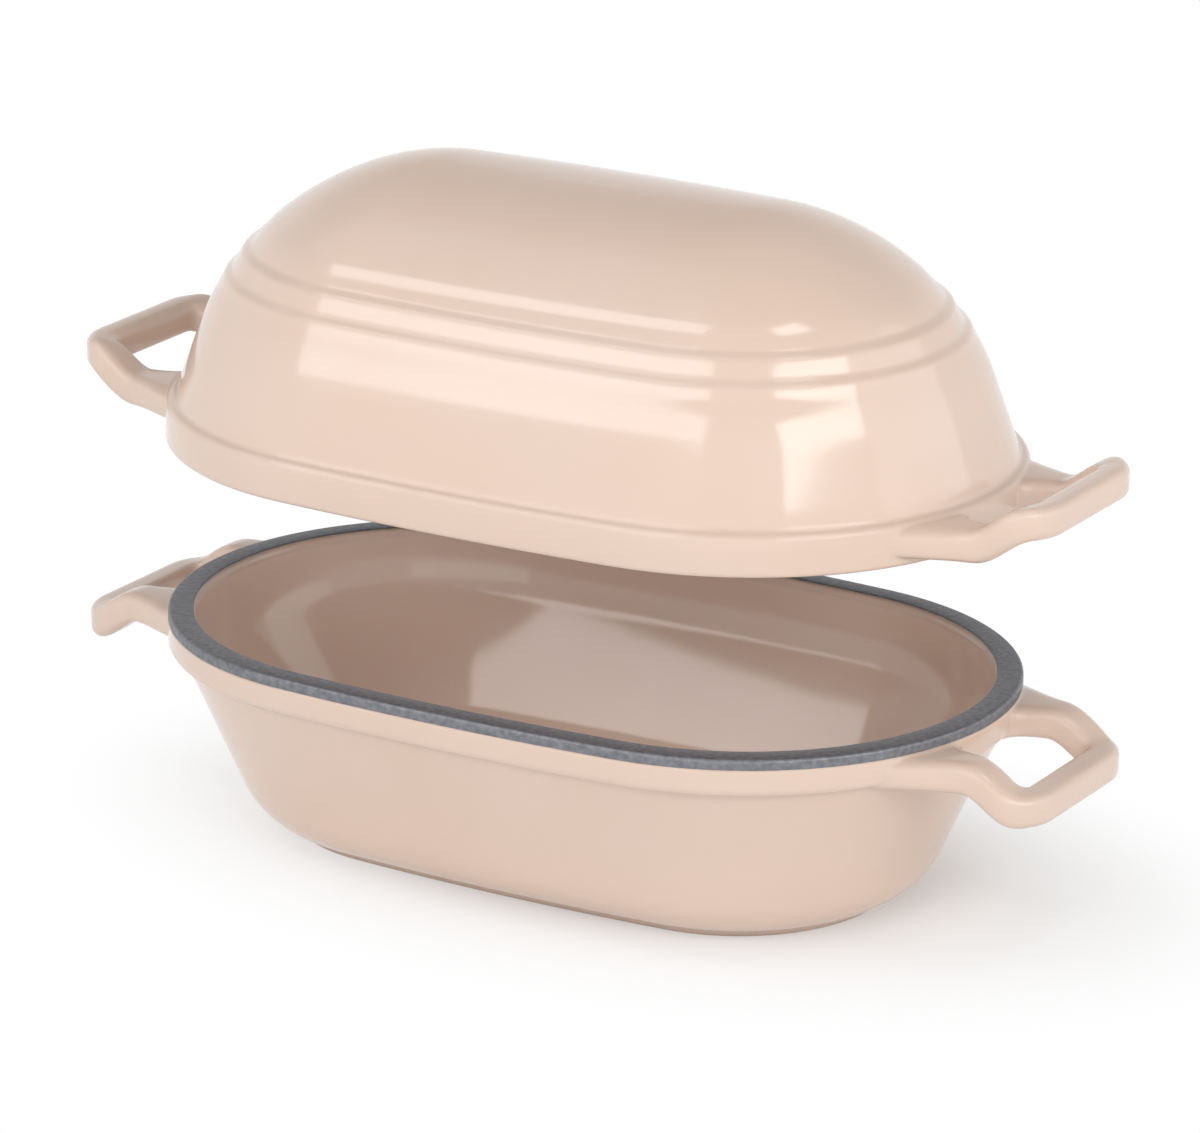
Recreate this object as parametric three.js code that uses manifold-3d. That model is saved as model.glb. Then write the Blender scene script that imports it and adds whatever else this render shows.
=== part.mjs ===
// An oval enamelled cast-iron bread oven: a shallow pan and a tall domed lid, each cast in one with
// its two looped handles. Enamel covers both castings inside and out and stops short of the two bare
// iron rims that meet. Each bare rim is a solid of its own, parted from its casting at the enamel line.
// Millimetres, +Z up, +X along the oven. The origin is the middle of the pan's foot, on the table.
import * as THREE from 'three';
import { mergeVertices } from 'three/addons/utils/BufferGeometryUtils.js';
import Module from 'manifold-3d';

const wasm = await Module();
wasm.setup();

// Plan of both rims: an oval of four arcs, with round ends and slightly bowed sides.
const RIM_LENGTH = 300;
const RIM_WIDTH = 192;
const SIDE_BOW = 2;

// Castings.
const WALL = 5;
const FLOOR = 6;
const RIM_ROUND = 1.2;
const PARTING_GAP = 0.1;

// Pan.
const PAN_HEIGHT = 76;
const PAN_BAND = 13;
const BAND_ROUND = 2.5;
const PAN_STEP = 4;
const PAN_DRAFT = 0.44;
const BOWL_CORNER = 26;
const FOOT_INSET = 42;
const FOOT_BARE = 1;
const RIM_SEAT = 9;
const BARE_EDGE = 3.5;

// Lid. It is held above the pan by the lift.
const LID_LIFT = 60;
const LID_HEIGHT = 96;
const LID_FLANGE = 14;
const BEAD_ROUND = 2;
const LID_STEP = 3;
const LID_DRAFT = 0.36;
const SHOULDER = 40;
const TIER_LEDGE = 1.4;
const TIER_RISE = 1;
const LOWER_TIER = 56.4;
const UPPER_TIER = 64.1;
const LID_BARE_EDGE = 1.5;
const LIP_DROP = 3;
const LIP_WIDTH = 3.2;
const LIP_CLEARANCE = 1;

// Handles. The lid's bend up and the pan's bend down, away from each other.
const ARM_APART = 61;
const ARM_LEVEL = 14;
const BAR_REACH = 29;
const BAR_CORNER = 10;
const LID_BAR_RISE = 9.5;
const PAN_BAR_DROP = 9;
const BAR_WIDTH = 10;
const BAR_THICKNESS = 10.6;
const ROOT_WIDTH = 25;
const ROOT_DEPTH = 8;
const ROOT_FLARE = 34;
const LID_ARM_HEIGHT = 7.4;
const PAN_ARM_DEPTH = 9.8;

// Smoothness.
const AROUND = 64;
const DOME_STEPS = 10;
const BOWL_STEPS = 6;
const BAR_SIDES = 10;
const BAR_STEPS = 24;
const SQUARENESS = 2.8;
const MERGE_DISTANCE = 1e-4;
const OVERSHOOT = 5;

const HALF_LENGTH = RIM_LENGTH / 2;
const HALF_WIDTH = RIM_WIDTH / 2;
const END_RADIUS = HALF_WIDTH - SIDE_BOW;
const END_CENTRE = HALF_LENGTH - END_RADIUS;
const SIDE_RADIUS = (END_CENTRE ** 2 + HALF_WIDTH ** 2 - END_RADIUS ** 2) / (2 * SIDE_BOW);
const JOIN_ANGLE = Math.atan2(SIDE_RADIUS - HALF_WIDTH, END_CENTRE);

// The point of the oval whose outward normal has this angle, moved inwards by the inset. The whole
// end radius as an inset lies on the spine, the line between the two end centres.
function ovalPoint(angle, inset) {
  const cos = Math.cos(angle);
  const sin = Math.sin(angle);
  const onEnd = Math.abs(sin) < Math.sin(JOIN_ANGLE);
  const radius = (onEnd ? END_RADIUS : SIDE_RADIUS) - inset;
  const x = (onEnd ? Math.sign(cos) * END_CENTRE : 0) + radius * cos;
  const y = (onEnd ? 0 : -Math.sign(sin) * (SIDE_RADIUS - HALF_WIDTH)) + radius * sin;
  return new THREE.Vector2(x, inset < END_RADIUS ? y : 0);
}

// A closed geometry as a solid, with its shared points merged and its empty triangles left out.
function solidOf(geometry) {
  const bare = new THREE.BufferGeometry();
  bare.setAttribute('position', geometry.getAttribute('position'));
  bare.setIndex(geometry.index);
  const merged = mergeVertices(bare, MERGE_DISTANCE);
  const index = merged.index.array;
  const kept = [];
  for (let i = 0; i < index.length; i += 3) {
    const [a, b, c] = index.slice(i, i + 3);
    if (a !== b && b !== c && c !== a) kept.push(a, b, c);
  }
  const vertProperties = merged.getAttribute('position').array;
  const triVerts = new Uint32Array(kept);
  return new wasm.Manifold(new wasm.Mesh({ numProp: 3, vertProperties, triVerts }));
}

// A lathe turned about the oval instead of a circle. The profile holds [inset, height] pairs, upwards.
function ovalSolid(profile) {
  const closed = [[END_RADIUS, profile[0][1]], ...profile, [END_RADIUS, profile.at(-1)[1]]];
  const points = closed.map(([inset, z]) => new THREE.Vector2(END_RADIUS - inset, z));
  const lathe = new THREE.LatheGeometry(points, AROUND);
  const position = lathe.getAttribute('position');
  for (let i = 0; i < position.count; i++) {
    const angle = (Math.floor(i / closed.length) / AROUND) * 2 * Math.PI;
    const [inset, z] = closed[i % closed.length];
    const point = ovalPoint(angle, inset);
    position.setXYZ(i, point.x, point.y, z);
  }
  return solidOf(lathe);
}

// A profile moved outwards by a distance, square to itself. Points on the spine only rise.
function grown(profile, distance) {
  return profile.map(([inset, z], i) => {
    if (inset >= END_RADIUS) return [inset, z + distance];
    const before = profile[Math.max(i - 1, 0)];
    const after = profile[Math.min(i + 1, profile.length - 1)];
    const along = new THREE.Vector2(before[0] - after[0], after[1] - before[1]).normalize();
    return [inset - along.y * distance, z - along.x * distance];
  });
}

// The point at which a profile crosses a height.
function cutAt(profile, z) {
  const above = profile.findIndex((point) => point[1] > z);
  const [from, to] = [profile[above - 1], profile[above]];
  return [THREE.MathUtils.mapLinear(z, from[1], to[1], from[0], to[0]), z];
}

// The bowl of the pan, from its foot edge up to the rim band: a round corner, then a drafted wall.
function bowlProfile() {
  const bandFoot = PAN_HEIGHT - PAN_BAND;
  const slope = Math.atan(PAN_DRAFT);
  const wallFoot = FOOT_BARE + BOWL_CORNER * (1 - Math.sin(slope));
  const centre = PAN_STEP + PAN_DRAFT * (bandFoot - wallFoot) + BOWL_CORNER * Math.cos(slope);
  const start = Math.asin((centre - FOOT_INSET) / BOWL_CORNER);
  const corner = [];
  for (let i = 0; i <= BOWL_STEPS; i++) {
    const angle = THREE.MathUtils.lerp(start, Math.PI / 2 - slope, i / BOWL_STEPS);
    const z = FOOT_BARE + BOWL_CORNER * (1 - Math.cos(angle));
    corner.push([centre - BOWL_CORNER * Math.sin(angle), z]);
  }
  return [...corner, [PAN_STEP, bandFoot]];
}

// The outside of the pan: bare foot, bowl, rim band and rounded rim.
function panOutside() {
  const bandFoot = PAN_HEIGHT - PAN_BAND;
  return [
    [FOOT_INSET, 0],
    ...bowlProfile(),
    [BAND_ROUND * 0.3, bandFoot + BAND_ROUND * 0.3],
    [0, bandFoot + BAND_ROUND],
    [0, PAN_HEIGHT - RIM_ROUND],
    [RIM_ROUND, PAN_HEIGHT],
  ];
}

// The hollow of the pan: its floor, the bowl moved in by the wall, and the mouth inside the seat.
function panInside() {
  const wall = grown(bowlProfile(), -WALL).filter((point) => point[1] > FLOOR);
  return [
    cutAt([[FOOT_INSET + WALL, 0], ...wall], FLOOR),
    ...wall,
    [RIM_SEAT, PAN_HEIGHT - RIM_ROUND],
    [RIM_SEAT - RIM_ROUND, PAN_HEIGHT],
    [RIM_SEAT - RIM_ROUND, PAN_HEIGHT + OVERSHOOT],
  ];
}

// How far the lid's wall stands in at a height: a drafted wall that rounds over into the dome.
function domeInset(z) {
  const drafted = LID_STEP + LID_DRAFT * (z - LID_FLANGE);
  const round = END_RADIUS - LID_STEP - LID_DRAFT * (LID_HEIGHT - LID_FLANGE);
  const turn = Math.asin(THREE.MathUtils.clamp((z - SHOULDER) / (LID_HEIGHT - SHOULDER), 0, 1));
  return drafted + round * (1 - Math.cos(turn));
}

// The heights at which the dome is sampled, closer together where it rounds over.
function domeHeights(from) {
  const heights = [from, (from + SHOULDER) / 2];
  for (let i = 0; i < DOME_STEPS; i++) {
    const turn = (i / DOME_STEPS) * (Math.PI / 2);
    heights.push(SHOULDER + (LID_HEIGHT - SHOULDER) * Math.sin(turn));
  }
  return heights;
}

// The outside of the lid: flange, bead, wall, two low tiers and dome. Each tier is a ledge in the wall.
function lidOutside() {
  const shelf = LID_FLANGE + BEAD_ROUND;
  const ledges = [LOWER_TIER, UPPER_TIER].flatMap((z) => [
    [domeInset(z) - TIER_LEDGE / 2, z],
    [domeInset(z + TIER_RISE) + TIER_LEDGE / 2, z + TIER_RISE],
  ]);
  const clear = (z) => z < LOWER_TIER - TIER_RISE || z > UPPER_TIER + 3 * TIER_RISE;
  const wall = domeHeights(shelf + BEAD_ROUND).filter(clear).map((z) => [domeInset(z), z]);
  const dome = [...wall, ...ledges].sort((a, b) => a[1] - b[1]);
  return [
    [RIM_ROUND, 0],
    [0, RIM_ROUND],
    [0, LID_FLANGE - BEAD_ROUND],
    [BEAD_ROUND * 0.3, LID_FLANGE - BEAD_ROUND * 0.3],
    [BEAD_ROUND, LID_FLANGE],
    [LID_STEP - BEAD_ROUND, LID_FLANGE + BEAD_ROUND * 0.4],
    ...dome,
    [END_RADIUS, LID_HEIGHT],
  ];
}

// The hollow of the lid, open at the bottom inside its locating lip.
function lidInside() {
  const mouth = RIM_SEAT + LIP_CLEARANCE + LIP_WIDTH;
  const dome = domeHeights(LID_FLANGE).map((z) => [domeInset(z), z]);
  const wall = grown([...dome, [END_RADIUS, LID_HEIGHT]], -WALL);
  return [[mouth, -LIP_DROP - OVERSHOOT], [mouth, 0], ...wall];
}

// A closed bar of rounded section along a curve. It is widest at its two roots.
function barSolid(curve) {
  const stations = curve.getSpacedPoints(BAR_STEPS);
  const length = curve.getLength();
  const corners = [];
  stations.forEach((centre, i) => {
    const u = i / BAR_STEPS;
    const tangent = curve.getTangentAt(u);
    const across = new THREE.Vector3(tangent.y, -tangent.x, 0).normalize();
    const up = new THREE.Vector3().crossVectors(across, tangent);
    const fromRoot = length * Math.min(u, 1 - u);
    const flare = 1 - THREE.MathUtils.smootherstep(fromRoot, 0, ROOT_DEPTH + ROOT_FLARE);
    const halfWidth = THREE.MathUtils.lerp(BAR_WIDTH, ROOT_WIDTH, flare) / 2;
    const halfHeight = BAR_THICKNESS / 2;
    for (let k = 0; k < BAR_SIDES; k++) {
      const angle = ((k + 0.5) / BAR_SIDES) * 2 * Math.PI;
      const round = (value) => Math.sign(value) * Math.abs(value) ** (2 / SQUARENESS);
      const point = centre.clone();
      point.addScaledVector(across, halfWidth * round(Math.cos(angle)));
      point.addScaledVector(up, halfHeight * round(Math.sin(angle)));
      corners.push(point);
    }
  });
  const index = [];
  for (let i = 0; i < BAR_STEPS; i++) {
    for (let k = 0; k < BAR_SIDES; k++) {
      const a = i * BAR_SIDES + k;
      const b = i * BAR_SIDES + ((k + 1) % BAR_SIDES);
      index.push(a, a + BAR_SIDES, b, b, a + BAR_SIDES, b + BAR_SIDES);
    }
  }
  const last = BAR_STEPS * BAR_SIDES;
  for (let k = 1; k + 1 < BAR_SIDES; k++) index.push(0, k, k + 1, last, last + k + 1, last + k);
  const geometry = new THREE.BufferGeometry().setFromPoints(corners);
  geometry.setIndex(index);
  return solidOf(geometry);
}

// The handle pair of one casting: level arms out of the rim, bent to a raised or lowered grip bar.
function handlePair(z, rise) {
  const arm = ARM_APART / 2;
  const reach = HALF_LENGTH + BAR_REACH;
  const half = [
    [ovalPoint(Math.asin(arm / END_RADIUS), 0).x - ROOT_DEPTH, arm, z],
    [HALF_LENGTH, arm, z],
    [HALF_LENGTH + ARM_LEVEL, arm, z + rise * 0.1],
    [reach - BAR_CORNER, arm, z + rise * 0.7],
    [reach - BAR_CORNER * 0.3, arm - BAR_CORNER * 0.3, z + rise * 0.96],
    [reach, arm - BAR_CORNER, z + rise],
    [reach, 0, z + rise],
  ].map((point) => new THREE.Vector3(...point));
  const mirrored = half.slice(0, -1).reverse().map((point) => new THREE.Vector3(point.x, -point.y, point.z));
  const bar = barSolid(new THREE.CatmullRomCurve3([...half, ...mirrored]));
  return bar.add(bar.rotate([0, 0, 180]));
}

// One casting: its outside and its handles, hollowed from the open side.
function castOven(outside, handles, inside) {
  return ovalSolid(outside).add(handles).subtract(ovalSolid(inside));
}

const panHandles = handlePair(PAN_HEIGHT - PAN_ARM_DEPTH, -PAN_BAR_DROP);
const pan = castOven(panOutside(), panHandles, panInside());

const lipInset = RIM_SEAT + LIP_CLEARANCE;
const lip = ovalSolid([
  [lipInset + RIM_ROUND, -LIP_DROP],
  [lipInset, RIM_ROUND - LIP_DROP],
  [lipInset, LIP_DROP],
]);
const lidHandles = handlePair(LID_ARM_HEIGHT, LID_BAR_RISE);
const lid = castOven(lidOutside(), lidHandles.add(lip), lidInside());

const enamel = new THREE.MeshStandardMaterial({ name: 'sand_enamel', color: 0xe0c8b6, roughness: 0.2 });
const iron = new THREE.MeshStandardMaterial({ name: 'bare_iron', color: 0x55565a, roughness: 0.55 });
iron.metalness = 0.7;

const group = new THREE.Group();
function addNode(name, solid, material, lift) {
  const mesh = solid.getMesh();
  const geometry = new THREE.BufferGeometry();
  geometry.setAttribute('position', new THREE.BufferAttribute(mesh.vertProperties, 3));
  geometry.setIndex(new THREE.BufferAttribute(mesh.triVerts, 1));
  geometry.translate(0, 0, lift);
  const node = new THREE.Mesh(geometry, material);
  node.name = name;
  group.add(node);
}

const upwards = [0, 0, 1];
const downwards = [0, 0, -1];
const panLine = PAN_HEIGHT - BARE_EDGE;
const raised = PAN_HEIGHT + LID_LIFT;
addNode('pan_body', pan.trimByPlane(downwards, PARTING_GAP - panLine), enamel, 0);
addNode('pan_rim', pan.trimByPlane(upwards, panLine), iron, 0);
addNode('lid_body', lid.trimByPlane(upwards, LID_BARE_EDGE + PARTING_GAP), enamel, raised);
addNode('lid_rim', lid.trimByPlane(downwards, -LID_BARE_EDGE), iron, raised);

export default group;
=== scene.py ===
"""An oval enamelled cast-iron bread oven, its domed lid raised above the pan, on a white floor."""

import math

import bpy
from mathutils import Matrix, Vector


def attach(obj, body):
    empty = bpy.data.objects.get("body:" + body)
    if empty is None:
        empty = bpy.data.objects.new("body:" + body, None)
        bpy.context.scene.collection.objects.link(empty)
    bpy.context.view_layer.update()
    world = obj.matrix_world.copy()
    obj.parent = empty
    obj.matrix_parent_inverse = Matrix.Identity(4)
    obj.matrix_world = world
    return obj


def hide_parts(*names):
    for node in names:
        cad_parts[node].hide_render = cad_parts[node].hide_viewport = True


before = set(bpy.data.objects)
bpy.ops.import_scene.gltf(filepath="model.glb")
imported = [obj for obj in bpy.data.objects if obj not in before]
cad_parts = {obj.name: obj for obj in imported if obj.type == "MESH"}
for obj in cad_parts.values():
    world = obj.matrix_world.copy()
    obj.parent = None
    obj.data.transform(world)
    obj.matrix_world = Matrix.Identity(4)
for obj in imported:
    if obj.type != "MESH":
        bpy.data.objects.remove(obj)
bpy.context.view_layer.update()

# The oven is in millimetres, with the angles of its arcs in degrees. The studio is in metres.
MM = 0.001

# Plan of both rims: two round ends and two slightly bowed sides, all arcs.
HALF_LENGTH = 150.0
HALF_WIDTH = 96.0
SIDE_BOW = 2.0
END_RADIUS = HALF_WIDTH - SIDE_BOW
END_CENTRE = HALF_LENGTH - END_RADIUS
SIDE_RADIUS = (END_CENTRE**2 + HALF_WIDTH**2 - END_RADIUS**2) / (2 * SIDE_BOW)
JOIN_ANGLE = math.atan2(SIDE_RADIUS - HALF_WIDTH, END_CENTRE)

# Castings. Each bare rim is parted from its enamelled body by a hair.
WALL = 5.0
RIM_ROUND = 1.2
PARTING_GAP = 0.1

# Pan, in heights above the table. A draft is the inset gained per millimetre of height.
PAN_HEIGHT = 76.0
BAND_FOOT = 63.0
BAND_ROUND = 2.5
CREASE_ROUND = 1.2
CREASE_END = 20
PAN_STEP = 4.0
PAN_DRAFT = 0.44
BOWL_CORNER = 26.0
FOOT_INSET = 42.0
FOOT_HEIGHT = 1.0
RIM_SEAT = 9.0
PAN_ENAMEL_LINE = 72.5
# The glaze of the inside runs up to the seat, behind a bare rim of this width.
LINING_INSET = 8.5

# Lid, in heights above its own seat, which is lifted off the pan's rim.
LID_LIFT = 60.0
LID_SEAT_HEIGHT = PAN_HEIGHT + LID_LIFT
LID_HEIGHT = 96.0
LID_FLANGE = 14.0
BEAD_ROUND = 2.0
FLANGE_FILLET = 1.7
FILLET_START = -80
FILLET_END = -15
LID_STEP = 3.0
LID_DRAFT = 0.36
SHOULDER = 40.0
# Each ledge is cast 1.4 mm deep. The glaze that gathers in it leaves this much.
GLAZED_LEDGE = 0.8
TIER_RISE = 1.0
TIER_BLEND = 1.1
LOWER_TIER = 56.4
UPPER_TIER = 64.1
LIP_INSET = 10.0
LIP_DROP = 3.0
LIP_WIDTH = 3.2
# The glaze runs over the lid's outer edge to this close above the ground seat.
LID_ENAMEL_LINE = 0.1

# Handles: two arms that flare into the casting at their roots, bend, and meet in a bar.
ARM_Y = 30.5
ARM_WIDTH = 13.0
BAR_REACH = 179.0
BAR_CORNER = 10.0
BAR_WIDTH = 10.0
BAR_THICKNESS = 10.6
BAR_EDGE = 2.8
ROOT_START = 139.0
ROOT_TURN = math.radians(20.0)
ROOT_EASE = 14.0
ROOT_SPREAD = 44.0
FLARE_LENGTH = 32.0
BEND_START = 158.0
BEND_END = 178.0
BEND_SPAN = BEND_END - BEND_START
LID_ARM_HEIGHT = 7.4
LID_BAR_RISE = 9.5
PAN_ARM_HEIGHT = 66.2
PAN_BAR_DROP = 9.0

# How finely the curves are stepped.
END_STEPS = 72
SIDE_STEPS = 14
ROUND_STEPS = 4
BEAD_STEPS = 6
CREASE_STEPS = 5
WALL_STEPS = 4
CORNER_STEPS = 18
LID_WALL_STEPS = 5
DOME_STEPS = 30
TIER_STEPS = 9
ARM_STEPS = 22
BAR_CORNER_STEPS = 12
BAR_STEPS = 4
EDGE_STEPS = 5

# Where the lid's rings stop: short of the dome's top, and clear of the fillet and the ledges.
DOME_END = 88.0
FILLET_CLEAR = 1.0
CLEAR_BELOW_TIERS = 4.0
CLEAR_ABOVE_TIERS = 6.0
HOLLOW_START = LID_FLANGE + 6.0
HOLLOW_SHORT = 2.0

# Tolerances. An inset of nothing makes no ring, and points closer than these distances are one.
LEAST_INSET = 0.001
SPIN_MERGE = 0.01
MIRROR_MERGE = 0.05
SLIVER_MERGE = 0.003
# The dome's slope is taken over this much up and down.
SLOPE_REACH = 0.05
# A cap's normal points at least this much up or down, and edges past this angle are sharp.
CAP_FACING = 0.9
SHARP_ANGLE = math.radians(40)

# Finishes. Patterns are sized from crest to crest. The iron's grain is drawn coarser than it is, to show.
PEEL_SIZE = 9.0
PEEL_HEIGHT = 0.4
CLOUD_SIZE = 60.0
GRAIN_SIZE = 2.0
# The fired glaze rounds the edges it runs over by this much.
GLAZE_ROUND = 2.0
# Most of a noise pattern lies between these values.
NOISE_SPAN = {"From Min": 0.3, "From Max": 0.7}

# Floor. It lies a hair below the foot, so that the two faces do not coincide.
FLOOR_SIZE = 8.0
FLOOR_DROP = 0.0001
# The shadow shows in full near its middle, and fades out between these two distances from it.
SHADOW_MIDDLE = (0.02, 0.015, 0)
SHADOW_FULL = 0.02
SHADOW_END = 0.15

# Strengths of the studio's pale walls and dimmer ceiling, and the sines of elevation between which it dims.
ROOM_HORIZON = 1.0
ROOM_ZENITH = 0.06
DIM_START = 0.1
DIM_END = 0.8
LAMP_AIM = Vector((0, 0, 0.13))
LAMP_DISTANCE = 1.5
# The wide box leans a little, and the strip overhead lies along the oven.
WIDE_ALONG = (0.966, -0.259, 0.14)
STRIP_ALONG = (1, 0, 0)

# The camera stands a little to the right of the front and looks slightly down.
CAMERA_AZIMUTH = 30.5
CAMERA_ELEVATION = 18.3
CAMERA_ROLL = math.radians(0.6)
CAMERA_DISTANCE = 2.14
PIXELS_PER_METRE = 3000.0
FRAME_WIDTH = 1200
FRAME_HEIGHT = 1133
AIM = Vector((0, 0, 0.06))
AIM_PIXEL = (590.0, 678.0)


def arc(centre, radius, start, end, steps):
    """Points of an arc in a profile, [inset, height], from one angle to another in degrees."""
    turns = [math.radians(start + (end - start) * i / steps) for i in range(steps + 1)]
    return [(centre[0] + radius * math.cos(a), centre[1] + radius * math.sin(a)) for a in turns]


def smooth(value):
    """0 below 0, 1 above 1, and an even S between them."""
    value = min(max(value, 0.0), 1.0)
    return value * value * (3 - 2 * value)


def activate(piece):
    """Selects one piece alone and makes it the active one."""
    bpy.ops.object.select_all(action="DESELECT")
    piece.select_set(True)
    bpy.context.view_layer.objects.active = piece


def edit(piece):
    """Opens one piece for editing with all of it selected."""
    activate(piece)
    bpy.ops.object.mode_set(mode="EDIT")
    bpy.ops.mesh.select_mode(type="VERT")
    bpy.ops.mesh.select_all(action="SELECT")


def leave_edit(piece):
    """Closes editing and shades the piece smooth except at true edges."""
    bpy.ops.object.mode_set(mode="OBJECT")
    bpy.ops.object.shade_smooth_by_angle(angle=SHARP_ANGLE)
    return piece


def new_plane(name, size):
    """A square at the origin, to be shaped into something else, open for editing."""
    bpy.ops.object.select_all(action="DESELECT")
    bpy.ops.mesh.primitive_plane_add(size=size, location=(0, 0, 0))
    piece = bpy.context.object
    piece.name = name
    edit(piece)
    return piece


def copy_of(piece, name):
    """A copy with its own mesh."""
    activate(piece)
    bpy.ops.object.duplicate(linked=False)
    copy = bpy.context.object
    copy.name = name
    return copy


def oval_prism(name, low, high, inset=0.0):
    """A prism of the rim's outline, or of one set in: a point spun through four arcs and extruded."""
    piece = new_plane(name, MM)
    bpy.ops.mesh.merge(type="COLLAPSE")
    radius = END_RADIUS - inset
    start = (END_CENTRE + radius * math.cos(JOIN_ANGLE), -radius * math.sin(JOIN_ANGLE), low)
    bpy.ops.transform.translate(value=[v * MM for v in start])
    side_turn = math.pi - 2 * JOIN_ANGLE
    side_offset = SIDE_RADIUS - HALF_WIDTH
    for centre, turn, steps in (
        ((END_CENTRE, 0, low), 2 * JOIN_ANGLE, END_STEPS),
        ((0, -side_offset, low), side_turn, SIDE_STEPS),
        ((-END_CENTRE, 0, low), 2 * JOIN_ANGLE, END_STEPS),
        ((0, side_offset, low), side_turn, SIDE_STEPS),
    ):
        bpy.ops.mesh.spin(steps=steps, angle=-turn, center=[v * MM for v in centre], axis=(0, 0, 1))
    bpy.ops.mesh.select_all(action="SELECT")
    bpy.ops.mesh.remove_doubles(threshold=SPIN_MERGE * MM)
    bpy.ops.mesh.edge_face_add()
    bpy.ops.mesh.extrude_region_move(TRANSFORM_OT_translate={"value": (0, 0, (high - low) * MM)})
    bpy.ops.mesh.select_all(action="SELECT")
    bpy.ops.mesh.normals_make_consistent(inside=False)
    return piece


def select_cap(piece, upper):
    """Selects the single face that closes the prism above or below."""
    bpy.ops.mesh.select_mode(type="FACE")
    bpy.ops.mesh.select_all(action="DESELECT")
    bpy.ops.object.mode_set(mode="OBJECT")
    for polygon in piece.data.polygons:
        facing = polygon.normal.z if upper else -polygon.normal.z
        polygon.select = facing > CAP_FACING
    bpy.ops.object.mode_set(mode="EDIT")


def run_profile(piece, upper, profile):
    """Insets the upper or lower cap step by step along a profile of [inset, height] points."""
    select_cap(piece, upper)
    for (inset_a, height_a), (inset_b, height_b) in zip(profile, profile[1:]):
        rise = (height_b - height_a) * (1 if upper else -1)
        bpy.ops.mesh.inset(thickness=max(inset_b - inset_a, LEAST_INSET) * MM, depth=rise * MM)


def part_at(piece, height, keep_above):
    """Cuts a piece flat at a height, keeps one side and closes the cut."""
    edit(piece)
    bpy.ops.mesh.bisect(
        plane_co=(0, 0, height * MM), plane_no=(0, 0, 1), use_fill=True,
        clear_inner=keep_above, clear_outer=not keep_above,
    )
    return leave_edit(piece)


def combine(body, tool, operation):
    """Joins a tool to a body or cuts it away, uses the tool up, and merges the slivers that are left."""
    step = body.modifiers.new("combine", "BOOLEAN")
    step.operation = operation
    step.solver = "EXACT"
    step.object = tool
    activate(body)
    bpy.ops.object.modifier_apply(modifier=step.name)
    bpy.data.objects.remove(tool)
    edit(body)
    bpy.ops.mesh.remove_doubles(threshold=SLIVER_MERGE * MM)
    bpy.ops.mesh.normals_make_consistent(inside=False)
    return leave_edit(body)


def bowl_wall(grow):
    """The bowl from the rim band down: a drafted wall and a round corner, moved in by an amount."""
    slope = math.atan(PAN_DRAFT)
    wall_foot = FOOT_HEIGHT + BOWL_CORNER * (1 - math.sin(slope))
    centre = PAN_STEP + PAN_DRAFT * (BAND_FOOT - wall_foot) + BOWL_CORNER * math.cos(slope)
    middle = (centre, FOOT_HEIGHT + BOWL_CORNER)
    corner = arc(middle, BOWL_CORNER - grow, 180 + math.degrees(slope), 270, CORNER_STEPS)
    inset = PAN_STEP + grow * math.cos(slope)
    height = BAND_FOOT - grow * math.sin(slope)
    run = corner[0][0] - inset
    drop = corner[0][1] - height
    wall = [(inset + run * i / WALL_STEPS, height + drop * i / WALL_STEPS) for i in range(WALL_STEPS)]
    return wall + corner


def pan_casting():
    """The pan without its handles: rim band, bowl and foot outside, seat, wall and floor inside."""
    band_low = BAND_FOOT + BAND_ROUND
    rim_low = PAN_HEIGHT - RIM_ROUND
    piece = oval_prism("pan_casting", band_low, rim_low)
    seat = arc((RIM_ROUND, rim_low), RIM_ROUND, 180, 90, ROUND_STEPS)
    seat += arc((RIM_SEAT - RIM_ROUND, rim_low), RIM_ROUND, 90, 0, ROUND_STEPS)
    run_profile(piece, True, seat + bowl_wall(WALL))
    under = arc((BAND_ROUND, band_low), BAND_ROUND, 180, 270, BEAD_STEPS)
    crease_middle = (PAN_STEP - CREASE_ROUND, BAND_FOOT - CREASE_ROUND)
    crease = arc(crease_middle, CREASE_ROUND, 90, CREASE_END, CREASE_STEPS)
    bowl = [p for p in bowl_wall(0.0)[1:] if p[0] < FOOT_INSET]
    foot = [(FOOT_INSET, FOOT_HEIGHT), (FOOT_INSET, 0.0)]
    run_profile(piece, False, under + crease + bowl + foot)
    return leave_edit(piece)


def dome_inset(height):
    """How far the lid's wall stands in at a height: drafted, then rounding over into the dome."""
    drafted = LID_STEP + LID_DRAFT * (height - LID_FLANGE)
    round_over = END_RADIUS - LID_STEP - LID_DRAFT * (LID_HEIGHT - LID_FLANGE)
    turn = math.asin(min(max((height - SHOULDER) / (LID_HEIGHT - SHOULDER), 0), 1))
    return drafted + round_over * (1 - math.cos(turn))


def dome_heights(first):
    """Heights up the dome, closer together where it rounds over."""
    wall = [first + (SHOULDER - first) * i / LID_WALL_STEPS for i in range(LID_WALL_STEPS)]
    turns = [math.radians(DOME_END * i / DOME_STEPS) for i in range(DOME_STEPS + 1)]
    return wall + [SHOULDER + (LID_HEIGHT - SHOULDER) * math.sin(t) for t in turns]


def tier(height):
    """One low ledge round the dome, rounded above and below."""
    low = height - TIER_BLEND
    high = height + TIER_RISE + TIER_BLEND
    foot = dome_inset(low) - GLAZED_LEDGE / 2
    top = dome_inset(high) + GLAZED_LEDGE / 2
    shares = [i / TIER_STEPS for i in range(TIER_STEPS + 1)]
    return [(foot + (top - foot) * smooth(s), low + (high - low) * s) for s in shares]


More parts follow.
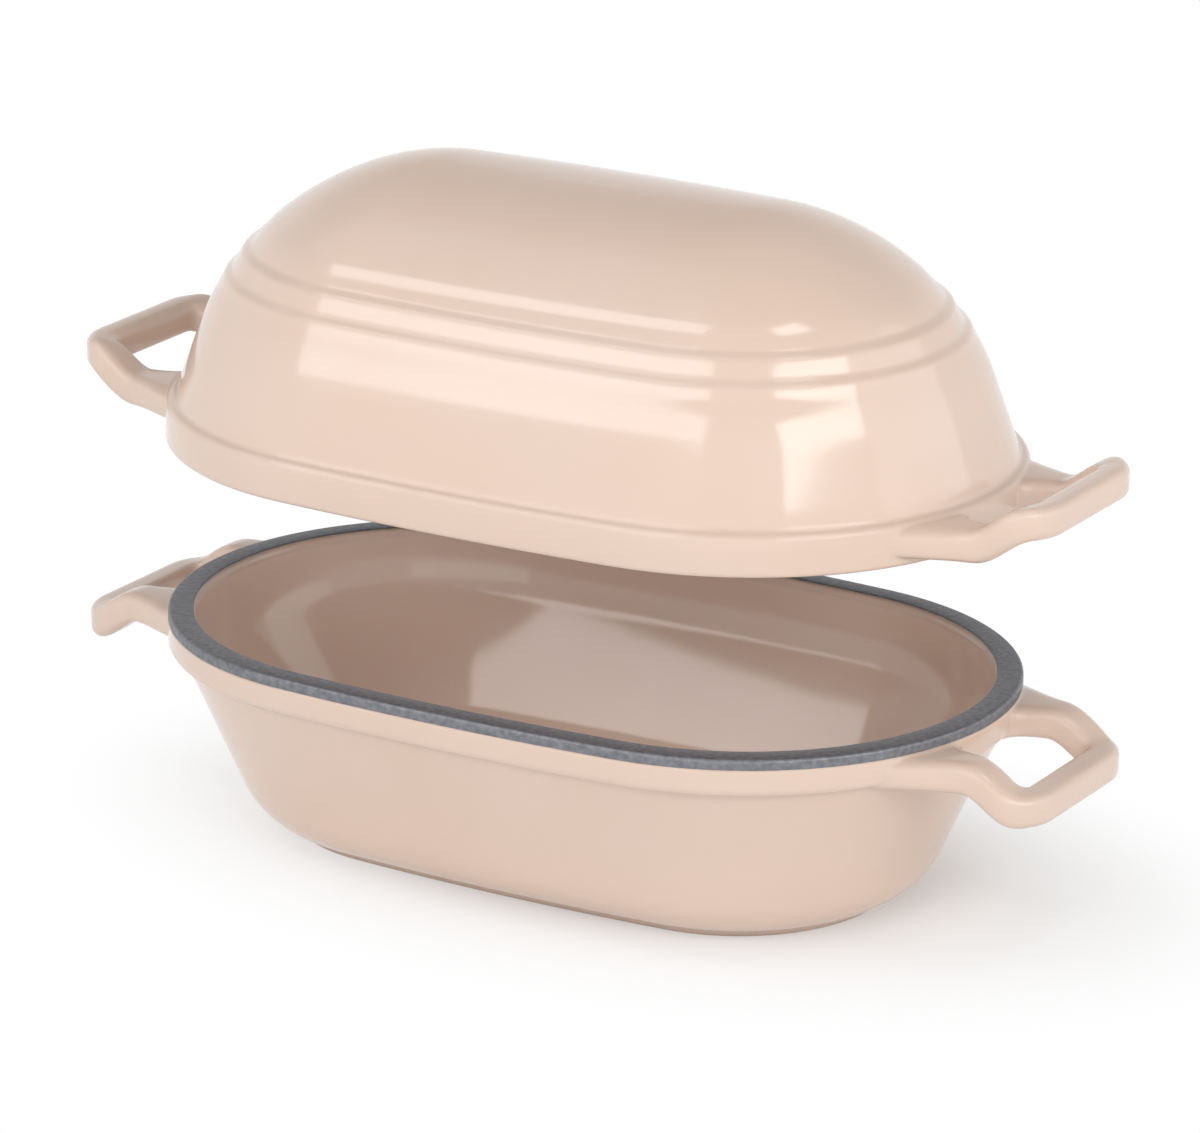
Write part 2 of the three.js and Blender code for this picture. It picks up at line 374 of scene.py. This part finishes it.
def lid_outside():
    """The lid's profile from the flange's bead up over the stepped dome."""
    bead = arc((BEAD_ROUND, LID_FLANGE - BEAD_ROUND), BEAD_ROUND, 180, 90, BEAD_STEPS)
    wall_start = LID_FLANGE + FLANGE_FILLET
    fillet_middle = (dome_inset(wall_start) - FLANGE_FILLET, wall_start)
    fillet = arc(fillet_middle, FLANGE_FILLET, FILLET_START, FILLET_END, BEAD_STEPS)
    below = LOWER_TIER - CLEAR_BELOW_TIERS
    above = UPPER_TIER + CLEAR_ABOVE_TIERS
    clear = [h for h in dome_heights(wall_start + FILLET_CLEAR) if h < below or h > above]
    dome = [(dome_inset(h), h) for h in clear] + tier(LOWER_TIER) + tier(UPPER_TIER)
    return bead + fillet + sorted(dome, key=lambda p: p[1])


def lid_inside():
    """The lid's profile from its seat round the locating lip and up the hollow."""
    mouth = LIP_INSET + LIP_WIDTH
    seat = arc((RIM_ROUND, RIM_ROUND), RIM_ROUND, 180, 270, ROUND_STEPS)
    lip = [(LIP_INSET, 0.0), (LIP_INSET, RIM_ROUND - LIP_DROP)]
    lip += arc((LIP_INSET + RIM_ROUND, RIM_ROUND - LIP_DROP), RIM_ROUND, 180, 270, ROUND_STEPS)
    lip += [(mouth, -LIP_DROP), (mouth, 0.0), (mouth, LID_FLANGE)]
    hollow = []
    for height in dome_heights(HOLLOW_START):
        gain = dome_inset(height + SLOPE_REACH) - dome_inset(height - SLOPE_REACH)
        lean = math.atan(gain / (2 * SLOPE_REACH))
        hollow.append((dome_inset(height) + WALL * math.cos(lean), height - WALL * math.sin(lean)))
    return seat + lip + [p for p in hollow if mouth < p[0] < END_RADIUS - HOLLOW_SHORT]


def lid_casting():
    """The lid without its handles: flange, bead and stepped dome outside, lip and hollow inside."""
    base = LID_SEAT_HEIGHT
    piece = oval_prism("lid_casting", base + RIM_ROUND, base + LID_FLANGE - BEAD_ROUND)
    run_profile(piece, True, [(t, base + h) for t, h in lid_outside()])
    run_profile(piece, False, [(t, base + h) for t, h in lid_inside()])
    return leave_edit(piece)


def handle_path():
    """One arm and half the bar from above, as [x, y, heading], with a round corner between them."""
    arm_end = BAR_REACH - BAR_CORNER
    path = []
    for i in range(ARM_STEPS + 1):
        x = ROOT_START + (arm_end - ROOT_START) * i / ARM_STEPS
        path.append((x, ARM_Y, -ROOT_TURN * (1 - smooth((x - ROOT_START) / ROOT_EASE))))
    for i in range(1, BAR_CORNER_STEPS + 1):
        turn = math.pi / 2 * i / BAR_CORNER_STEPS
        x = arm_end + BAR_CORNER * math.sin(turn)
        path.append((x, ARM_Y - BAR_CORNER * (1 - math.cos(turn)), turn))
    for i in range(1, BAR_STEPS + 1):
        path.append((BAR_REACH, (ARM_Y - BAR_CORNER) * (1 - i / BAR_STEPS), math.pi / 2))
    return path


def handle_width(x, turn):
    """Width of the arm, which flares towards its root, easing into that of the bar."""
    away = min((x - ROOT_START) / FLARE_LENGTH, 1)
    arm = ARM_WIDTH + (ROOT_SPREAD - ARM_WIDTH) * (1 - away) ** 3
    return arm + (BAR_WIDTH - arm) * smooth(turn / (math.pi / 2))


def handle_stretch(x, turn, rise):
    """How much taller the section is drawn where the bend slopes, so that the arm keeps its thickness."""
    share = min(max((x - BEND_START) / BEND_SPAN, 0), 1)
    # An even S rises by 6 s (1 - s).
    slope = rise / BEND_SPAN * 6 * share * (1 - share) * math.cos(turn)
    return math.sqrt(1 + slope * slope)


def bend_handle(piece, rise):
    """Lifts or drops the bar, with an even S along the arms."""
    bend = piece.vertex_groups.new(name="bend")
    for vertex in piece.data.vertices:
        bend.add([vertex.index], smooth((vertex.co.x / MM - BEND_START) / BEND_SPAN), "REPLACE")
    lift = piece.modifiers.new("bend", "DISPLACE")
    lift.direction = "Z"
    lift.mid_level = 0.0
    lift.strength = rise * MM
    lift.vertex_group = bend.name
    bpy.ops.object.modifier_apply(modifier=lift.name)


def handle(name, height, rise):
    """One looped handle at the +X end: a rounded bar drawn along its path, mirrored and bent."""
    piece = new_plane(name, 1.0)
    bpy.ops.transform.resize(value=(BAR_THICKNESS * MM, BAR_WIDTH * MM, 1))
    bpy.ops.mesh.bevel(offset=BAR_EDGE * MM, segments=EDGE_STEPS, affect="VERTICES")
    bpy.ops.mesh.select_all(action="SELECT")
    bpy.ops.transform.rotate(value=math.pi / 2, orient_axis="Y", center_override=(0, 0, 0))
    bpy.ops.transform.resize(value=(1, ROOT_SPREAD / BAR_WIDTH, 1), center_override=(0, 0, 0))
    root = (ROOT_START * MM, ARM_Y * MM, height * MM)
    bpy.ops.transform.translate(value=root)
    bpy.ops.transform.rotate(value=-ROOT_TURN, orient_axis="Z", center_override=root)
    path = handle_path()
    for (xa, ya, ta), (xb, yb, tb) in zip(path, path[1:]):
        step = ((xb - xa) * MM, (yb - ya) * MM, 0)
        bpy.ops.mesh.extrude_region_move(TRANSFORM_OT_translate={"value": step})
        centre = (xb * MM, yb * MM, height * MM)
        widen = handle_width(xb, tb) / handle_width(xa, ta)
        thicken = handle_stretch(xb, tb, rise) / handle_stretch(xa, ta, rise)
        bpy.ops.transform.rotate(value=-ta, orient_axis="Z", center_override=centre)
        bpy.ops.transform.resize(value=(1, widen, thicken), center_override=centre)
        bpy.ops.transform.rotate(value=tb, orient_axis="Z", center_override=centre)
    bpy.ops.mesh.delete(type="ONLY_FACE")
    bpy.ops.object.mode_set(mode="OBJECT")
    mirror = piece.modifiers.new("other_arm", "MIRROR")
    mirror.use_axis = (False, True, False)
    mirror.merge_threshold = MIRROR_MERGE * MM
    bpy.ops.object.modifier_apply(modifier=mirror.name)
    bend_handle(piece, rise)
    edit(piece)
    bpy.ops.mesh.normals_make_consistent(inside=False)
    return leave_edit(piece)


def add_handles(body, height, rise):
    """Joins a handle to each end of a casting."""
    right = handle("handle_right", height, rise)
    left = copy_of(right, "handle_left")
    bpy.ops.transform.rotate(value=math.pi, orient_axis="Z", center_override=(0, 0, 0))
    bpy.ops.object.transform_apply(location=True, rotation=True, scale=True)
    for end in (right, left):
        combine(body, end, "UNION")


def linear(hex_colour):
    """An sRGB hex colour as linear red, green, blue and alpha."""
    parts = [int(hex_colour[i:i + 2], 16) / 255 for i in (1, 3, 5)]
    return [p / 12.92 if p <= 0.04045 else ((p + 0.055) / 1.055) ** 2.4 for p in parts] + [1.0]


def node(tree, kind, settings=None, links=None):
    """Adds a node, sets its properties and inputs, and links inputs, which go by name or by number."""
    new = tree.nodes.new(kind)
    for key, value in (settings or {}).items():
        if isinstance(key, int) or key in new.inputs:
            new.inputs[key].default_value = value
        else:
            setattr(new, key, value)
    for key, socket in (links or {}).items():
        tree.links.new(socket, new.inputs[key])
    return new


def fresh_material(name):
    """A new material with an empty node tree."""
    material = bpy.data.materials.new(name)
    material.use_nodes = True
    material.node_tree.nodes.clear()
    return material, material.node_tree


def sand_enamel():
    """Vitreous enamel, sprayed and fired on cast iron: a glassy sand glaze with a slight orange peel."""
    material, tree = fresh_material("sand_vitreous_enamel")
    place = node(tree, "ShaderNodeTexCoord").outputs["Object"]
    # Orange peel of a sprayed coat, over ripples of the sand casting.
    settings = {"Scale": 1 / (PEEL_SIZE * MM), "Detail": 1.0}
    peel = node(tree, "ShaderNodeTexNoise", settings, {"Vector": place})
    # The fired glaze runs over every edge and hollow, and rounds it.
    run = node(tree, "ShaderNodeBevel", {"Radius": GLAZE_ROUND * MM, "samples": 6})
    settings = {"Strength": 0.05, "Distance": PEEL_HEIGHT * MM}
    links = {"Height": peel.outputs["Fac"], "Normal": run.outputs["Normal"]}
    bump = node(tree, "ShaderNodeBump", settings, links)
    # The coat is a little thicker in some places than in others, in faint clouds of tone and gloss.
    settings = {"Scale": 1 / (CLOUD_SIZE * MM), "Detail": 1.0}
    cloud = node(tree, "ShaderNodeTexNoise", settings, {"Vector": place})
    depth = node(tree, "ShaderNodeMapRange", NOISE_SPAN, {"Value": cloud.outputs["Fac"]})
    # Inputs 6 and 7 and output 2 of a Mix node are its colours.
    settings = {"data_type": "RGBA", 6: linear("#DEC5B4"), 7: linear("#E0C9BA")}
    tone = node(tree, "ShaderNodeMix", settings, {"Factor": depth.outputs["Result"]})
    settings = {"To Min": 0.11, "To Max": 0.09}
    gloss = node(tree, "ShaderNodeMapRange", settings, {"Value": depth.outputs["Result"]})
    links = {
        "Base Color": tone.outputs[2],
        "Roughness": gloss.outputs["Result"],
        "Normal": bump.outputs["Normal"],
    }
    shader = node(tree, "ShaderNodeBsdfPrincipled", {"IOR": 1.52}, links)
    node(tree, "ShaderNodeOutputMaterial", None, {"Surface": shader.outputs["BSDF"]})
    return material


def bare_iron():
    """Cast iron, ground flat and oiled: a dark satin grey, a little mottled."""
    material, tree = fresh_material("ground_cast_iron")
    place = node(tree, "ShaderNodeTexCoord").outputs["Object"]
    # Light and dark grain, left by the grinding.
    settings = {"Scale": 1 / (GRAIN_SIZE * MM), "Detail": 5.0}
    grain = node(tree, "ShaderNodeTexNoise", settings, {"Vector": place})
    spread = node(tree, "ShaderNodeMapRange", NOISE_SPAN, {"Value": grain.outputs["Fac"]})
    settings = {"data_type": "RGBA", 6: linear("#6E7076"), 7: linear("#8C8D92")}
    tone = node(tree, "ShaderNodeMix", settings, {"Factor": spread.outputs["Result"]})
    settings = {"Roughness": 0.45, "Metallic": 0.6}
    shader = node(tree, "ShaderNodeBsdfPrincipled", settings, {"Base Color": tone.outputs[2]})
    node(tree, "ShaderNodeOutputMaterial", None, {"Surface": shader.outputs["BSDF"]})
    return material


def white_floor():
    """Matt white paper: it takes the oven's shadow nearby and is plain white further out."""
    material, tree = fresh_material("matt_white_paper")
    place = node(tree, "ShaderNodeTexCoord").outputs["Object"]
    # Distance from the middle of the shadow, shortened along the oven so that the fade is an oval.
    settings = {"operation": "SUBTRACT", 1: SHADOW_MIDDLE}
    aside = node(tree, "ShaderNodeVectorMath", settings, {0: place})
    settings = {"operation": "MULTIPLY", 1: (HALF_WIDTH / HALF_LENGTH, 1, 1)}
    oval = node(tree, "ShaderNodeVectorMath", settings, {0: aside.outputs["Vector"]})
    reach = node(tree, "ShaderNodeVectorMath", {"operation": "LENGTH"}, {0: oval.outputs["Vector"]})
    settings = {"interpolation_type": "SMOOTHSTEP", "From Min": SHADOW_FULL, "From Max": SHADOW_END}
    fade = node(tree, "ShaderNodeMapRange", settings, {"Value": reach.outputs["Value"]})
    # The plain white is what the camera, reflections and clear pieces see. It lights nothing.
    path = node(tree, "ShaderNodeLightPath").outputs
    links = {0: path["Is Camera Ray"], 1: path["Is Glossy Ray"]}
    straight = node(tree, "ShaderNodeMath", {"operation": "ADD"}, links)
    links = {0: straight.outputs["Value"], 1: path["Is Transmission Ray"]}
    direct = node(tree, "ShaderNodeMath", {"operation": "ADD", "use_clamp": True}, links)
    links = {0: fade.outputs["Result"], 1: direct.outputs["Value"]}
    seen = node(tree, "ShaderNodeMath", {"operation": "MULTIPLY"}, links)
    paper = node(tree, "ShaderNodeBsdfDiffuse", {"Color": linear("#F4F3F2")})
    white = node(tree, "ShaderNodeEmission", {"Strength": 1.0})
    links = {"Fac": seen.outputs["Value"], 1: paper.outputs["BSDF"], 2: white.outputs["Emission"]}
    mixed = node(tree, "ShaderNodeMixShader", None, links)
    node(tree, "ShaderNodeOutputMaterial", None, {"Surface": mixed.outputs["Shader"]})
    return material


def finish_piece(piece, name, cad_node, body, material):
    """Names a finished piece, paints it, and sets it in the place of its CAD solid."""
    piece.name = name
    piece.data.name = name
    piece.data.materials.clear()
    piece.data.materials.append(material)
    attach(piece, body)
    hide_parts(cad_node)


def bearing(azimuth, elevation):
    """A unit vector towards a place, by its degrees from the front towards the right, and upwards."""
    turn = math.radians(azimuth)
    tilt = math.radians(elevation)
    return Vector((math.sin(turn) * math.cos(tilt), -math.cos(turn) * math.cos(tilt), math.sin(tilt)))


def rightwards(azimuth):
    """The level direction to the right of a view from an azimuth."""
    turn = math.radians(azimuth)
    return Vector((math.cos(turn), math.sin(turn), 0))


def softbox(name, azimuth, elevation, width, height, watts, distance=LAMP_DISTANCE, along=None):
    """A soft box that faces the oven from a bearing, its width level or along a direction."""
    away = bearing(azimuth, elevation)
    light = bpy.data.lights.new(name, "AREA")
    light.shape = "RECTANGLE"
    light.size = width
    light.size_y = height
    light.energy = watts
    lamp = bpy.data.objects.new(name, light)
    bpy.context.scene.collection.objects.link(lamp)
    across = Vector(along) if along else rightwards(azimuth)
    across = (across - away * across.dot(away)).normalized()
    axes = Matrix((across, away.cross(across), away)).transposed()
    lamp.matrix_world = Matrix.Translation(LAMP_AIM + away * distance) @ axes.to_4x4()


def studio_room():
    """A pale room whose white walls dim towards the ceiling."""
    world = bpy.data.worlds.new("studio")
    bpy.context.scene.world = world
    world.use_nodes = True
    tree = world.node_tree
    tree.nodes.clear()
    look = node(tree, "ShaderNodeTexCoord")
    parts = node(tree, "ShaderNodeSeparateXYZ", None, {"Vector": look.outputs["Generated"]})
    settings = {
        "interpolation_type": "SMOOTHSTEP",
        "From Min": DIM_START, "From Max": DIM_END,
        "To Min": ROOM_HORIZON, "To Max": ROOM_ZENITH,
    }
    dim = node(tree, "ShaderNodeMapRange", settings, {"Value": parts.outputs["Z"]})
    links = {"Strength": dim.outputs["Result"]}
    room = node(tree, "ShaderNodeBackground", {"Color": (1, 1, 1, 1)}, links)
    node(tree, "ShaderNodeOutputWorld", None, {"Surface": room.outputs["Background"]})


def place_camera():
    """The camera, shifted so that the point it is aimed at lands on its pixel of the frame."""
    back = bearing(CAMERA_AZIMUTH, CAMERA_ELEVATION)
    level_right = rightwards(CAMERA_AZIMUTH)
    level_up = back.cross(level_right)
    right = level_right * math.cos(CAMERA_ROLL) + level_up * math.sin(CAMERA_ROLL)
    up = level_up * math.cos(CAMERA_ROLL) - level_right * math.sin(CAMERA_ROLL)
    middle = AIM + right * ((FRAME_WIDTH / 2 - AIM_PIXEL[0]) / PIXELS_PER_METRE)
    middle += up * ((AIM_PIXEL[1] - FRAME_HEIGHT / 2) / PIXELS_PER_METRE)
    lens = bpy.data.cameras.new("camera")
    lens.sensor_width = 36.0
    lens.lens = PIXELS_PER_METRE * CAMERA_DISTANCE * lens.sensor_width / FRAME_WIDTH
    lens.clip_end = 50.0
    camera = bpy.data.objects.new("camera", lens)
    bpy.context.scene.collection.objects.link(camera)
    axes = Matrix((right, up, back)).transposed()
    camera.matrix_world = Matrix.Translation(middle + back * CAMERA_DISTANCE) @ axes.to_4x4()
    bpy.context.scene.camera = camera


enamel = sand_enamel()
iron = bare_iron()

pan_body = pan_casting()
pan_rim = copy_of(pan_body, "pan_rim")
part_at(pan_rim, PAN_ENAMEL_LINE, True)
lining = leave_edit(oval_prism("lining", 0, PAN_HEIGHT + WALL, LINING_INSET))
combine(pan_rim, lining, "DIFFERENCE")
# The body loses the ring that the rim stands in, and keeps the glazed lining inside it.
ring = leave_edit(oval_prism("ring", PAN_ENAMEL_LINE - PARTING_GAP, PAN_HEIGHT + WALL, -WALL))
lining = leave_edit(oval_prism("lining", 0, PAN_HEIGHT + 2 * WALL, LINING_INSET + PARTING_GAP))
combine(pan_body, combine(ring, lining, "DIFFERENCE"), "DIFFERENCE")
add_handles(pan_body, PAN_ARM_HEIGHT, -PAN_BAR_DROP)
finish_piece(pan_body, "enamelled_pan", "pan_body", "pan", enamel)
finish_piece(pan_rim, "pan_seat_rim", "pan_rim", "pan", iron)

lid_body = lid_casting()
lid_rim = copy_of(lid_body, "lid_rim")
part_at(lid_rim, LID_SEAT_HEIGHT + LID_ENAMEL_LINE, False)
part_at(lid_body, LID_SEAT_HEIGHT + LID_ENAMEL_LINE + PARTING_GAP, True)
add_handles(lid_body, LID_SEAT_HEIGHT + LID_ARM_HEIGHT, LID_BAR_RISE)
finish_piece(lid_body, "enamelled_lid", "lid_body", "lid", enamel)
finish_piece(lid_rim, "lid_seat_rim", "lid_rim", "lid", iron)

bpy.ops.object.select_all(action="DESELECT")
bpy.ops.mesh.primitive_plane_add(size=FLOOR_SIZE, location=(0, 0, -FLOOR_DROP))
floor = bpy.context.object
floor.name = "floor"
floor.data.materials.append(white_floor())

studio_room()
# The first four show in the glaze: on the lid's front wall, on its right end, and on the dome over each.
softbox("wide_box", azimuth=-16, elevation=29.5, width=1.52, height=0.38, watts=6.3, along=WIDE_ALONG)
softbox("side_box", azimuth=68, elevation=27.5, width=0.95, height=0.37, watts=6.3)
softbox(
    "overhead_strip", azimuth=-41.4, elevation=58.7, width=1.09, height=0.32, watts=3.4, along=STRIP_ALONG
)
softbox("side_strip", azimuth=77, elevation=63, width=0.36, height=0.28, watts=1.6)
# The rest fill the shadows, on the right end, the left and the front.
softbox("fill_box", azimuth=112, elevation=20, width=1.2, height=0.8, watts=2.8)
softbox("key_box", azimuth=-75, elevation=60, width=1.4, height=1.4, watts=2.4, distance=2.0)
softbox("low_box", azimuth=20, elevation=9, width=1.6, height=0.3, watts=1.6)
place_camera()

bpy.context.scene.view_settings.view_transform = "Standard"
